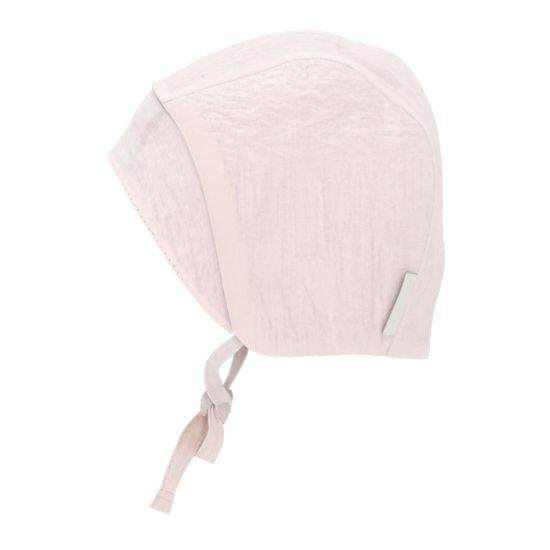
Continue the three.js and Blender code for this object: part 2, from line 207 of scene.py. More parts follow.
# The knot's strands: rows of x, y, z, width, thickness and lean
KNOT_STRANDS = [
    [(3, -47.8, -184.6, 6.6, 5, 10), (3, -48.2, -191.6, 11.6, 6.4, 0), (2, -47.6, -198.2, 9, 5.2, -8)],
    [(5, -48.2, -183.4, 5.6, 3.4, -22), (5.8, -50.9, -187, 6.6, 4, -22), (5.6, -52.4, -191.2, 6.8, 4.4, -16),
     (4.8, -53.2, -194.2, 5.8, 4, -18), (3.2, -54.4, -196.8, 4, 2.6, -26),
     (1.4, -55.2, -198.6, 2.2, 1.2, -30)],
    [(6.4, -43.4, -187.4, 7, 3.8, 14), (7.3, -44.3, -192.6, 8, 4.2, 4), (6.6, -44.7, -197, 7.6, 4.4, -6),
     (3.8, -45.8, -200.6, 6.2, 3.2, -14), (0.4, -46.6, -202, 5, 2.4, -14)],
    [(0.6, -41.8, -185.4, 3.6, 3, 24), (3.2, -40.9, -188, 4.2, 3.6, 14), (3, -41.2, -191.6, 3.8, 3.4, 4),
     (1.2, -42.4, -195.4, 4.2, 3.2, 0)],
    [(-3.6, -46.2, -184.8, 6, 3.2, 20), (-3, -43.6, -190.4, 7.6, 4, 14), (-2.6, -44.4, -197.4, 7.4, 4, -6)],
    [(-3.4, -50.6, -186.4, 6.6, 3.8, -16), (-3.6, -51.2, -193.4, 7.6, 4.2, -8),
     (-2, -49.6, -199.4, 6.4, 3.6, 0)],
]

# The folded label: rows of the seam, root, reach, turn out of the panel, half its fold and its wall
LABEL_ROWS = (36.6, 41.9)
LABEL_ROOT = (1.1, 1.1)
LABEL_REACH = 9.4
LABEL_TURN_OUT = 8.5
LABEL_FOLD = 0.42
LABEL_WALL = 0.4

# The stitches: pitch, length and thickness, and how far inside their edge they run
BRIM_STITCH = {"pitch": 3.8, "length": 1.1, "thickness": 0.42, "inside": 1.5}
TAPE_STITCH = {"pitch": 3.4, "length": 0.95, "thickness": 0.3, "inside": 1.4}

# Shares of the way from the brim's middle to its ends where stitches rise, are full, sink and stop
BRIM_SHOWN = (0.25, 0.45, 0.64, 0.8)

# A stitch's thread: its rings' shares of length and thickness, and the play of its pitch and thickness
THREAD_RINGS = ((-0.5, 0.15), (-0.42, 0.7), (-0.2, 1), (0.2, 1), (0.42, 0.7), (0.5, 0.15))
PITCH_PLAY = 0.12
THICKNESS_PLAY = (0.6, 1.1)

# The brim's painted shade under the gusset's corners: depth, place and spread along it, and fade across it
BRIM_CORNER_SHADE = {"depth": 2, "along": 38, "spread": 7.5, "fade": (12, 36)}

# The heights between which a side panel's creases turn from upright to level
PANEL_TURN = (-76, -50)

# The small dark fleck in the gusset's weave
SPECK_AT = (35.9, -52.4, -23.2)
SPECK_RADIUS = 0.3

# Width of the smooth hems and the raised seam allowance, and where the brim's hem fades out
FRONT_HEM = 14.5
NECK_HEM = 8.5
SEAM_RIDGE = 6.2
BRIM_FOLD = (3.2, 5.4)

# How much the rolled front edge of the gusset stands up
FRONT_ROLL = 0.9

# Colours, as linear albedo; each hollow shade is the painted shade of the cloth's hollows and creases
BLUSH = (0.775, 0.683, 0.674)
BLUSH_HEM = (0.796, 0.685, 0.66)
BLUSH_HOLLOW_SHADE = (0.7, 0.596, 0.586)
PANEL_BLUSH = (0.796, 0.7, 0.69)
PANEL_HOLLOW_SHADE = (0.712, 0.606, 0.594)
BRIM_BLUSH = (0.808, 0.716, 0.714)
BRIM_HOLLOW_SHADE = (0.712, 0.608, 0.606)
BRIM_HEM = (0.812, 0.704, 0.692)
TAPE_BLUSH = (0.767, 0.713, 0.697)
TAPE_HOLLOW_SHADE = (0.64, 0.53, 0.52)
# Painted shade: the knot's cloth, darker than the ties', which is also the ties' colour near the knot
KNOT_SHADED_BLUSH = (0.722, 0.628, 0.61)
KNOT_HOLLOW_SHADE = (0.55, 0.44, 0.42)
TAIL_BLUSH = (0.778, 0.682, 0.652)
TAIL_HOLLOW_SHADE = (0.71, 0.6, 0.555)
# Painted shade on the tail near the knot
TAIL_SHADE = (0.6, 0.445, 0.36)
# Painted light: the far tie's cloth, lighter than the other ties'; its shade is painted shade near the knot
FAR_LIT_BLUSH = (0.87, 0.765, 0.745)
FAR_SHADE = (0.74, 0.57, 0.5)
CREAM = (0.775, 0.735, 0.685)
THREAD = (0.5, 0.42, 0.4)
SPECK = (0.45, 0.33, 0.29)

# Finishes
GAUZE_FINISH = {
    "Roughness": 0.92, "Specular IOR Level": 0.2, "Sheen Weight": 0.12, "Sheen Roughness": 0.5,
    "Subsurface Weight": 0.6, "Subsurface Radius": (1.0, 0.88, 0.84), "Subsurface Scale": 2.0 * MM,
}
GAUZE_BUMP = 0.17
TRIM_FINISH = {"Roughness": 0.85, "Specular IOR Level": 0.25}
FLOOR_FINISH = {"Base Color": (0.985, 0.985, 0.985, 1), "Roughness": 0.9}


# Curves, surfaces and noise, over arrays of places
def curve_through(points):
    """A centripetal Catmull-Rom curve through points, run from 0 to 1 evenly in the points' numbers."""
    points = np.asarray(points, float)
    whole = np.vstack([2 * points[0] - points[1], points, 2 * points[-1] - points[-2]])
    gaps = np.sqrt(np.linalg.norm(np.diff(whole, axis=0), axis=1))

    def at(share):
        place = np.clip(np.asarray(share, float), 0, 1) * (len(points) - 1)
        k = np.minimum(place.astype(int), len(points) - 2)
        w = (place - k)[..., None]
        p0, p1, p2, p3 = (whole[k + i] for i in range(4))
        d0, d1, d2 = (gaps[k + i][..., None] for i in range(3))
        t1 = ((p1 - p0) / d0 - (p2 - p0) / (d0 + d1) + (p2 - p1) / d1) * d1
        t2 = ((p2 - p1) / d1 - (p3 - p1) / (d1 + d2) + (p3 - p2) / d2) * d1
        return p1 + t1 * w + (3 * (p2 - p1) - 2 * t1 - t2) * w**2 + (2 * (p1 - p2) + t1 + t2) * w**3

    return at


def lengths_along(points):
    """How far each point of a line lies from its first, along the line."""
    steps = np.linalg.norm(np.diff(points, axis=0), axis=1)
    return np.concatenate([[0], np.cumsum(steps)])


def by_length(curve):
    """The same curve, run evenly in its length."""
    shares = np.linspace(0, 1, 400)
    lengths = lengths_along(curve(shares))
    return lambda share: curve(np.interp(share, lengths / lengths[-1], shares))


def unit(v):
    return v / np.maximum(np.linalg.norm(v, axis=-1, keepdims=True), 1e-9)


def tangent_of(curve, share):
    step = 1e-4
    share = np.clip(share, step, 1 - step)
    return unit(curve(share + step) - curve(share - step))


def eased(value, low, high):
    """0 below low, 1 above high, and smooth between them."""
    t = np.clip((value - low) / (high - low), 0, 1)
    return t * t * (3 - 2 * t)


def hill(value, centre, spread):
    """1 at the centre, and falling off smoothly to both sides."""
    return np.exp(-(((value - centre) / spread) ** 2))


def distance_to(points, line):
    """How far each point of a grid lies from a line of points."""
    best = np.full(points.shape[:-1], 1e9)
    for a, b in zip(line[:-1], line[1:]):
        along = b - a
        share = np.clip((points - a) @ along / max(along @ along, 1e-12), 0, 1)
        best = np.minimum(best, np.linalg.norm(points - a - share[..., None] * along, axis=-1))
    return best


def from_fold(y, z, fold):
    """How far each place lies along a straight fold and beside it, and the fold's length."""
    from_y, from_z, to_y, to_z = fold[:4]
    along_y, along_z = to_y - from_y, to_z - from_z
    length = math.hypot(along_y, along_z)
    along = ((y - from_y) * along_y + (z - from_z) * along_z) / length
    across = ((y - from_y) * along_z - (z - from_z) * along_y) / length
    return along, across, length


def fold_depth(y, z, fold):
    """Depth of a straight fold, full along its middle and fading over its width and past its ends."""
    along, across, length = from_fold(y, z, fold)
    width, depth = fold[4:]
    past = np.maximum(0, np.maximum(-along, along - length))
    return depth * np.exp(-(across**2 + past**2) / (width**2 * 0.5))


def crease_depth(y, z, crease):
    """Depth of a straight crease that comes up slowly from its first end."""
    along, _, length = from_fold(y, z, crease)
    return fold_depth(y, z, crease) * eased(along, -2, 0.4 * length)


class Noise:
    """Smooth random heights over a plane, from about -1 to 1, the same on each run."""

    SIZE = 64

    def __init__(self, seed):
        turns = np.random.default_rng(seed).uniform(0, 2 * math.pi, (self.SIZE, self.SIZE))
        self.slope_x = np.cos(turns)
        self.slope_y = np.sin(turns)

    def __call__(self, x, y):
        x, y = np.broadcast_arrays(x, y)
        column, row = np.floor(x).astype(int), np.floor(y).astype(int)
        dx, dy = x - column, y - row

        def corner(i, j):
            at = (column + i) % self.SIZE, (row + j) % self.SIZE
            return self.slope_x[at] * (dx - i) + self.slope_y[at] * (dy - j)

        ease_x, ease_y = (d**3 * (d * (6 * d - 15) + 10) for d in (dx, dy))
        low = corner(0, 0) * (1 - ease_x) + corner(1, 0) * ease_x
        high = corner(0, 1) * (1 - ease_x) + corner(1, 1) * ease_x
        return 1.5 * (low * (1 - ease_y) + high * ease_y)


def crinkles(noise, across, along, spacing, run):
    """Rounded ridges with sharp creases between them, spacing apart and run long, from about -0.5 to 0.7."""
    sway = 0.3 * noise(across / (5 * spacing) + 31.7, along / run + 11.3)
    return 1.6 * np.abs(noise(across / spacing + sway, along / run + 5.1)) - 0.5


def crowded(count, first, last, fine=(0, 0.0006, 0.002, 0.0045, 0.008)):
    """Shares from first to last with extra ones close to both ends, for rounded edges."""
    near = np.array(fine)
    middle = np.linspace(fine[-1], 1 - fine[-1], count - 2 * len(fine) + 2)[1:-1]
    return first + (last - first) * np.concatenate([near, middle, 1 - near[::-1]])


mid_line = curve_through(np.column_stack([np.zeros(len(CROWN)), CROWN[:, :2]]))
seam_line = curve_through(CROWN[:, 2:])
front_edge = curve_through(FRONT_EDGE)
neck_edge = curve_through(NECK_EDGE)
brim_edge = by_length(curve_through(BRIM_EDGE))


def gusset_point(row, across):
    """The gusset's outer face: an arc through the mid-line and both seams, across from -1 to 1."""
    row, across = np.broadcast_arrays(row, across)
    mid = mid_line(row / ROWS)
    seam = seam_line(row / ROWS)
    drop = seam[..., 1:] - mid[..., 1:]
    fall = np.linalg.norm(drop, axis=-1)
    half_angle = 2 * np.arctan2(fall, seam[..., 0])
    radius = seam[..., 0] / np.sin(half_angle)
    angle = across * half_angle
    share = radius * (1 - np.cos(angle)) / fall
    x = radius * np.sin(angle)
    return np.stack([x, mid[..., 1] + drop[..., 0] * share, mid[..., 2] + drop[..., 1] * share], axis=-1)


def free_edge(row):
    """The left side panel's free border: the front edge down to the chin corner, then the neck hem."""
    front = front_edge(np.minimum(row, CHIN_ROW) / CHIN_ROW)
    neck = neck_edge(np.maximum(row - CHIN_ROW, 0) / (ROWS - CHIN_ROW))
    return np.where((row <= CHIN_ROW)[..., None], front, neck)


def panel_point(row, down):
    """The left side panel's outer face: down runs from 0 at the seam to 1 at the free edge."""
    row, down = np.broadcast_arrays(row, down)
    seam = seam_line(row / ROWS)
    edge = free_edge(row)
    chord = np.linalg.norm(edge - seam, axis=-1)
    p = seam + (edge - seam) * down[..., None]
    p[..., 0] += PANEL_BULGE * chord * 4 * down * (1 - down)
    return p


def normal_of(face, row, across, lowest):
    """Outward normals of a face, taken just inside of its borders."""
    step = 0.02
    r = np.clip(row, 1, ROWS - 1)
    a = np.clip(across, lowest + step, 1 - step)
    along_row = face(r + step, a) - face(r - step, a)
    along_across = face(r, a + step) - face(r, a - step)
    return unit(np.cross(along_across, along_row))


def seam_joint(row):
    """The slant that both cut edges share at the left seam, the step that keeps them apart, and the seam's
    small wander to and fro, stronger behind the front."""
    gusset_side = normal_of(gusset_point, row, np.ones_like(row), -1)
    panel_side = normal_of(panel_point, row, np.zeros_like(row), 0)
    meeting = 1 + np.sum(gusset_side * panel_side, axis=-1, keepdims=True)
    slant = (gusset_side + panel_side) / meeting
    across = unit(np.cross(tangent_of(seam_line, row / ROWS), slant))
    wander = SEAM_WANDER * (0.3 + 0.7 * eased(row, 14, 18)) * Noise(SEAM_SEED)(row * 1.3, 0.5)
    return slant, across * (SEAM_GAP / 2), across * wander[..., None]


def mirrored(points):
    return points * np.array([-1, 1, 1])


def rounded(wall, *distances):
    """A wall's thickness at its distances from its borders, so that each border is a round edge."""
    near = np.clip(np.minimum.reduce(distances) / (wall / 2), 0, 1)
    return wall * np.sqrt(1 - (1 - near) ** 2)


# Meshes and objects
def finished_mesh(name, bm):
    """A closed mesh with its faces turned outwards and shaded smooth."""
    bmesh.ops.recalc_face_normals(bm, faces=bm.faces)
    if bm.calc_volume(signed=True) < 0:
        bmesh.ops.reverse_faces(bm, faces=bm.faces)
    mesh = bpy.data.meshes.new(name)
    bm.to_mesh(mesh)
    bm.free()
    mesh.shade_smooth()
    return mesh


def keep_cloth(mesh, cloth, hems_and_shade):
    """Keep each point's cloth and its hems and painted shade with the mesh, for its material."""
    store = mesh.attributes.new("cloth", "FLOAT_VECTOR", "POINT")
    store.data.foreach_set("vector", cloth.astype(np.float32).ravel())
    store = mesh.attributes.new("hems_and_shade", "FLOAT", "POINT")
    store.data.foreach_set("value", hems_and_shade.astype(np.float32))


def sheet_mesh(name, middle, normal, thickness, cloth, hems_and_shade=0):
    """A closed sheet of cloth on a grid: its middle face, normals and thickness, 0 along the border.
    cloth holds each point's place on the flat cloth and the height of its crinkles, and hems_and_shade is
    1 where it has its hem's colour: on a doubled hem or seam allowance, and on a tie's painted shade near
    the knot."""
    rows, columns = thickness.shape
    half = normal * (thickness / 2)[..., None]
    outer = np.arange(rows * columns).reshape(rows, columns)
    inner = outer + rows * columns
    border = np.ones((rows, columns), bool)
    border[1:-1, 1:-1] = False
    inner[border] = outer[border]
    quads = []
    for face, turn in ((outer, 1), (inner, -1)):
        corners = [face[:-1, :-1], face[:-1, 1:], face[1:, 1:], face[1:, :-1]]
        quads.append(np.stack(corners[::turn], axis=-1).reshape(-1, 4))
    points = np.concatenate([(middle + half).reshape(-1, 3), (middle - half).reshape(-1, 3)]) * MM
    raw = bpy.data.meshes.new(name + "_raw")
    raw.from_pydata(points.tolist(), [], np.concatenate(quads).tolist())
    both_faces_hems_and_shade = np.concatenate([np.ravel(hems_and_shade + 0 * thickness)] * 2)
    keep_cloth(raw, np.concatenate([cloth.reshape(-1, 3)] * 2), both_faces_hems_and_shade)
    bm = bmesh.new()
    bm.from_mesh(raw)
    bpy.data.meshes.remove(raw)
    bmesh.ops.delete(bm, geom=[v for v in bm.verts if not v.link_faces], context="VERTS")
    bmesh.ops.remove_doubles(bm, verts=bm.verts, dist=MERGE_DISTANCE * MM)
    return finished_mesh(name, bm)


def placed(name, data):
    """A new object in the scene."""
    obj = bpy.data.objects.new(name, data)
    bpy.context.scene.collection.objects.link(obj)
    return obj


def add_piece(mesh, material, nodes=()):
    """A visible piece with its mesh's name, in place of the CAD nodes that it stands for."""
    obj = placed(mesh.name, mesh)
    mesh.materials.append(material)
    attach(obj, "root")
    if nodes:
        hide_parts(*nodes)
    return obj


# Materials
class Shader:
    """A principled material whose nodes are added by short calls."""

    def __init__(self, name):
        self.material = bpy.data.materials.new(name)
        self.material.use_nodes = True
        self.tree = self.material.node_tree
        self.surface = self.tree.nodes["Principled BSDF"]

    def put(self, socket, value):
        if isinstance(value, bpy.types.NodeSocket):
            self.tree.links.new(value, socket)
        else:
            socket.default_value = value

    def node(self, kind, inputs=None, **settings):
        made = self.tree.nodes.new(kind)
        for key, value in settings.items():
            setattr(made, key, value)
        for key, value in (inputs or {}).items():
            self.put(made.inputs[key], value)
        return made

    def finished(self, finish):
        for key, value in finish.items():
            self.put(self.surface.inputs[key], value)
        return self.material

    def noise(self, vector, factors, detail=2):
        place = self.node("ShaderNodeVectorMath", {0: vector, 1: factors}, operation="MULTIPLY").outputs[0]
        inputs = {"Vector": place, "Scale": 1.0, "Detail": detail, "Roughness": 0.55}
        return self.node("ShaderNodeTexNoise", inputs).outputs["Fac"]

    def ramp(self, value, low, high):
        """0 at low, 1 at high, and straight between them."""
        inputs = {"Value": value, "From Min": low, "From Max": high}
        return self.node("ShaderNodeMapRange", inputs).outputs[0]

    def math(self, operation, a, b=0.0, c=0.0):
        return self.node("ShaderNodeMath", {0: a, 1: b, 2: c}, operation=operation).outputs[0]

    def mixed(self, share, a, b):
        made = self.node("ShaderNodeMix", data_type="RGBA")
        sockets = {"Factor_Float": share, "A_Color": a, "B_Color": b}
        for socket in made.inputs:
            if socket.identifier in sockets:
                self.put(socket, sockets[socket.identifier])
        return next(socket for socket in made.outputs if socket.identifier == "Result_Color")


def thin_creases(shader, flat, factors, breaks):
    """Thin sharp creases, 0 in a crease and 1 beside it, broken up where breaks is high."""
    away = shader.math("ABSOLUTE", shader.math("SUBTRACT", shader.noise(flat, factors, 1), 0.5))
    gaps = shader.math("MULTIPLY_ADD", breaks, 3.4, -1.3)
    return shader.math("MAXIMUM", shader.ramp(away, 0.0, 0.05), gaps)


def gauze(name, colour, shade_colour, hem, turned=None, weave=1.0):
    """Double gauze: small checked pebbles, creases along the cloth broken up by its threads, and a warmer
    painted shade in its hollows, its creases and between the pebbles. Where hems_and_shade is 1 it takes the
    hem colour: a doubled hem's colour on the bonnet, and a painted shade near the knot on the ties. Where
    turned gives two heights, the creases turn across the cloth from the one to the other."""
    shader = Shader(name)
    cloth = shader.node("ShaderNodeAttribute", attribute_name="cloth").outputs["Vector"]
    parts = shader.node("ShaderNodeSeparateXYZ", {0: cloth})
    flat = shader.node("ShaderNodeCombineXYZ", {0: parts.outputs[0], 1: parts.outputs[1]}).outputs[0]
    warp = shader.noise(flat, (1.05, 0.36, 0))
    weft = shader.noise(flat, (0.36, 1.05, 0))
    threads = shader.noise(flat, (0.2, 2.4, 0))
    pebbles = shader.math("MULTIPLY", warp, weft)
    creases = thin_creases(shader, flat, (0.2, 0.02, 0), weft)
    if turned:
        crossing = thin_creases(shader, flat, (0.06, 0.24, 0), warp)
        upper = shader.ramp(parts.outputs[1], *turned)
        creases = shader.node("ShaderNodeMix", {0: upper, 2: creases, 3: crossing}).outputs[0]
    # Painted shade: the colour turns to the hollow shade in deep hollows, in the creases and between the
    # pebbles
    hollow_shade = shader.ramp(parts.outputs[2], 0.35, -0.55)
    tone = shader.math("MULTIPLY_ADD", pebbles, -1.7, 0.80)
    tone = shader.math("MULTIPLY", shader.math("MULTIPLY_ADD", creases, -0.30, tone), weave)
    share = shader.node("ShaderNodeMath", {0: hollow_shade, 1: 0.6, 2: tone}, operation="MULTIPLY_ADD")
    share.use_clamp = True
    hems_and_shade = shader.node("ShaderNodeAttribute", attribute_name="hems_and_shade").outputs["Fac"]
    single = shader.mixed(share.outputs[0], (*colour, 1), (*shade_colour, 1))
    colour_out = shader.mixed(hems_and_shade, single, (*hem, 1))
    open_cloth = shader.math("MULTIPLY_ADD", hems_and_shade, -0.5, 1.0)
    height = shader.math("MULTIPLY_ADD", pebbles, 3.6, shader.math("MULTIPLY", creases, 0.7))
    height = shader.math("MULTIPLY_ADD", threads, 0.5, shader.math("MULTIPLY", height, open_cloth))
    bump = shader.node("ShaderNodeBump", {"Strength": weave, "Distance": GAUZE_BUMP * MM, "Height": height})
    return shader.finished({"Base Color": colour_out, "Normal": bump.outputs[0], **GAUZE_FINISH})


def plain_cloth(name, colour, scale, depth):
    """A small trim's finish: one colour, broken up by a fine thread noise."""
    shader = Shader(name)
    place = shader.node("ShaderNodeTexCoord").outputs["Object"]
    thread = shader.noise(place, (scale / MM, scale / MM, 0.35 * scale / MM))
    colour_out = shader.mixed(thread, (*colour, 1), (*(0.86 * c for c in colour), 1))
    bump = shader.node("ShaderNodeBump", {"Strength": 0.6, "Distance": depth * MM, "Height": thread})
    return shader.finished({"Base Color": colour_out, "Normal": bump.outputs[0], **TRIM_FINISH})


gauze_blush = gauze("gauze_blush", BLUSH, BLUSH_HOLLOW_SHADE, BLUSH_HEM)
gauze_panel = gauze("gauze_panel", PANEL_BLUSH, PANEL_HOLLOW_SHADE, BLUSH_HEM, PANEL_TURN)
gauze_brim = gauze("gauze_brim", BRIM_BLUSH, BRIM_HOLLOW_SHADE, BRIM_HEM)
# The tie's and the loop's hem colour is the painted shade near the knot
gauze_tape = gauze("gauze_tape", TAPE_BLUSH, TAPE_HOLLOW_SHADE, KNOT_SHADED_BLUSH, weave=0.6)
gauze_loop = gauze("gauze_loop", TAIL_BLUSH, TAIL_HOLLOW_SHADE, KNOT_SHADED_BLUSH, weave=0.6)
# The knot's cloth is darker than the ties': painted shade in the knot
gauze_knot_shaded = gauze("gauze_knot_shaded", KNOT_SHADED_BLUSH, KNOT_HOLLOW_SHADE, KNOT_SHADED_BLUSH, weave=0.8)
# The far tie's cloth is lighter than the other ties': painted light on the tie under the hat
gauze_far_lit = gauze("gauze_far_lit", FAR_LIT_BLUSH, TAIL_HOLLOW_SHADE, FAR_SHADE, weave=0.6)
gauze_tail = gauze("gauze_tail", TAIL_BLUSH, TAIL_HOLLOW_SHADE, TAIL_SHADE, weave=0.6)
cream_tape = plain_cloth("cream_tape", CREAM, 2.2, 0.08)
dusty_thread = plain_cloth("dusty_thread", THREAD, 3.0, 0.05)
speck_brown = plain_cloth("speck_brown", SPECK, 3.0, 0.05)


# The side panels
def panel_height(p, from_seam, from_front, from_neck, noise):
    """Height of the panel's crinkles, height of all its relief over the smooth face, and its hems."""
    y, z = p[..., 1], p[..., 2]
    upper = eased(z, *PANEL_TURN)
    streaks = crinkles(noise, y, z, 4.8, 42) + 0.4 * crinkles(noise, y + 90, z, 2.6, 12)
    wavy = z + 1.2 * noise(y / 6.5, z / 9 + 21)
    waves = crinkles(noise, wavy + 40, y, 4.6, 18) + 0.55 * crinkles(noise, wavy, y + 70, 2.4, 7)
    mottle = noise(y / 2.4, z / 2.4 + 9)
    patches = 0.6 + 0.8 * noise(y / 22 + 8, z / 30)
    fine = 0.44 * streaks * patches * (1 - 0.75 * upper) + 0.52 * waves * (0.1 + 0.9 * upper) + 0.16 * mottle
    wander = 0.7 * noise(y / 2.2 + 50, z / 12) + 0.5 * noise(y / 12, z / 16 + 9)
    band_front = 1 - eased(from_front + wander, FRONT_HEM - 4, FRONT_HEM + 1.5)
    band_neck = 1 - eased(from_neck + 2 * wander, NECK_HEM - 3, NECK_HEM + 1)
    calm = (1 - np.maximum(0.8 * band_front, 0.6 * band_neck)) * eased(from_seam, 0.5, 5)
    puckers = noise(y / 3.1, z / 30 + 3) * 0.55 * hill(from_neck, NECK_HEM + 1.5, 3.5)
    seam_puckers = noise(y / 3.4, z / 3.4 + 17) * 0.35 * hill(from_seam, 2.2, 2.2)
    creases = sum(crease_depth(y, z, crease) for crease in PANEL_CREASES)
    beside_hem = 0.12 * hill(from_front, FRONT_HEM + 1.2, 0.9) * (1 + noise(y / 3 + 4, z / 5))
    fine = fine * calm - beside_hem + puckers + seam_puckers - creases * eased(from_neck, 0.5, 4)
    broad = 0.9 * noise(y / 34 + 3, z / 46) + 0.5 * noise(y / 15, z / 22 + 4)
    hems = np.maximum(0.9 * band_front * (0.45 + 0.55 * eased(from_seam, 4, 34)), 0.4 * band_neck)
    return fine, fine + 0.25 * hems + broad * eased(from_seam, 0, 14) * eased(from_front, 0, 16), hems


def panel_mesh(name, side, seed):
    """A side panel: side is 1 for the left one and -1 for the right one."""
    rows = np.linspace(0, ROWS, PANEL_GRID[0])
    row, down = np.meshgrid(rows, crowded(PANEL_GRID[1], 0, 1), indexing="ij")
    p = panel_point(row, down)
    normal = normal_of(panel_point, row, down, 0)
    slant, apart, wander = seam_joint(rows)
    chord = np.linalg.norm(p[:, -1] - p[:, 0], axis=-1)[:, None]
    near_seam = np.clip(1 - down * chord / SEAM_BLEND, 0, 1)
    chin = np.searchsorted(rows, CHIN_ROW)
    from_seam = distance_to(p, p[::2, 0])
    from_front = distance_to(p, p[: chin + 1, -1])
    from_neck = distance_to(p, p[chin:, -1])
    fine, height, hems = panel_height(p, from_seam, from_front, from_neck, Noise(seed))
    folds = sum(fold_depth(p[..., 1], p[..., 2], fold) for fold in PANEL_FOLDS)
    height = height - folds * (1 - near_seam) * np.minimum(1, (1 - down) / HEM_BLEND)
    blend = near_seam[..., None]
    normal = normal * (1 - blend) + slant[:, None] * blend
    wall = rounded(WALL, SEAM_TIGHTNESS * from_seam, from_front, from_neck)
    middle = p + (wander + apart)[:, None] * blend + normal * (height - WALL / 2)[..., None]
    cloth = np.stack([p[..., 1], p[..., 2], fine], axis=-1)
    if side < 0:
        middle, normal = mirrored(middle), mirrored(normal)
    return sheet_mesh(name, middle, normal, wall, cloth, hems)


# The gusset
def gusset_mesh(name, seed):
    """The long strip over the crown, from the forehead to the nape."""
    noise = Noise(seed)
    rows = np.linspace(0, ROWS, GUSSET_GRID[0])
    row, across = np.meshgrid(rows, crowded(GUSSET_GRID[1], -1, 1), indexing="ij")
    p = gusset_point(row, across)
    normal = normal_of(gusset_point, row, across, -1)
    side = np.sign(across)
    slant, apart, wander = seam_joint(rows)
    to_edge = np.linalg.norm(p - np.where(side[..., None] < 0, p[:, :1], p[:, -1:]), axis=-1)
    near_seam = np.clip(1 - to_edge / SEAM_BLEND, 0, 1)
    from_seam = np.minimum(distance_to(p, p[::2, 0]), distance_to(p, p[::2, -1]))
    from_front = distance_to(p, p[0, ::2])
    from_nape = distance_to(p, p[-1, ::2])
    along = lengths_along(p[:, GUSSET_GRID[1] // 2])[:, None] + 0 * across
    beside = side * (from_seam.max(axis=1, keepdims=True) - from_seam)
    y, z = p[..., 1], p[..., 2]
    ridge_width = SEAM_RIDGE + (1 - eased(along, 60, 110)) - 1.8 * eased(along, 130, 180)
    ridge = eased(from_seam, 0.2, 1.6) * (1 - eased(from_seam, ridge_width - 2.8, ridge_width + 1.2))
    band_front = 1 - eased(from_front, 4.5, 7.5)
    band_nape = 1 - eased(from_nape, NECK_HEM - 2, NECK_HEM + 1)
    calm = 1 - 0.85 * np.maximum.reduce([ridge, band_front, band_nape])
    lengthwise = crinkles(noise, beside, along, 4.6, 34) + 0.4 * crinkles(noise, beside + 80, along, 2.5, 14)
    mottle = noise(beside / 5, along / 6 + 3)
    rear = eased(along, 150, 210)
    fine = (0.27 * lengthwise * (1 - 0.5 * rear) + 0.3 * mottle * (0.25 + 0.75 * rear)) * calm
    creases = sum(fold_depth(y, z, crease) for crease in GUSSET_CREASES)
    puckers = noise(along / 3.6, beside / 12) * 0.3 * hill(from_seam, 2.5, 2.5) * eased(along, 90, 130)
    fine = fine * eased(from_seam, 0.3, 2) - creases * eased(np.abs(beside), 2, 16) * calm + puckers
    dent = fold_depth(y, z, GUSSET_DENT) * (1 - across**4)
    broad = 0.8 * noise(beside / 30, along / 40) * eased(from_seam, 0, 12) * eased(from_front, 0, 12)
    front_roll = 1 - eased(from_front, 3, 9)
    height = fine + 0.4 * ridge + 0.3 * band_nape + 0.5 * FRONT_ROLL * front_roll + broad - dent
    flip = np.where(side[..., None] < 0, mirrored(np.ones(3)), 1)
    blend = near_seam[..., None]
    normal = normal * (1 - blend) + slant[:, None] * flip * blend
    wall = rounded(WALL + FRONT_ROLL * front_roll, SEAM_TIGHTNESS * from_seam, from_front, from_nape)
    middle = p + (wander - apart)[:, None] * flip * blend + normal * (height - WALL / 2)[..., None]
    cloth = np.stack([beside, along, fine], axis=-1)
    hems_and_shade = np.maximum.reduce([0.7 * ridge, 0.7 * band_front, 0.4 * band_nape])
    return sheet_mesh(name, middle, normal, wall, cloth, hems_and_shade)


# The brim
def brim_stations():
    """The front edge from the mid-line to the left chin corner, as in the CAD model: each place's seat,
    outward normal, way back along the cloth, and length from the mid-line."""
    on_gusset = 6
    across = np.arange(on_gusset) / on_gusset
    row = np.arange(CHIN_ROW + 1.0)
    edge_top = gusset_point(np.zeros(on_gusset), across)
    normal_top = normal_of(gusset_point, np.zeros(on_gusset), across, -1)
    back_top = unit(gusset_point(np.ones(on_gusset), across) - edge_top)
    edge_side = front_edge(row / CHIN_ROW)
    normal_side = normal_of(panel_point, row, np.ones_like(row), 0)
    normal_side[0] = seam_joint(row)[0][0]
    back_side = unit(np.cross(normal_side, tangent_of(front_edge, row / CHIN_ROW)))
    back_side[0] = tangent_of(seam_line, np.zeros(1))[0]
    edge = np.concatenate([edge_top, edge_side])
    normal = np.concatenate([normal_top, normal_side])
    back = np.concatenate([back_top, back_side])
    lengths = lengths_along(edge)
    gap = BRIM_GAP + CORNER_GAP * hill(lengths, lengths[on_gusset], CORNER_SPREAD)
    seat = edge - normal * (WALL + gap)[:, None]
    return seat, normal, back, lengths


def stitch_lines(middle, normal, thickness, distance, wanted):
    """On both faces of a sheet's grid, each row's point where distance is as wanted, and its normal."""
    row = np.arange(len(middle))
    column = np.argmin(np.abs(distance - wanted), axis=1)
    lines = []
    for face in (1, -1):
        outward = normal[row, column] * face
        skin = middle[row, column] + outward * (thickness[row, column] / 2)[:, None]
        lines.append((skin, outward))
    return lines


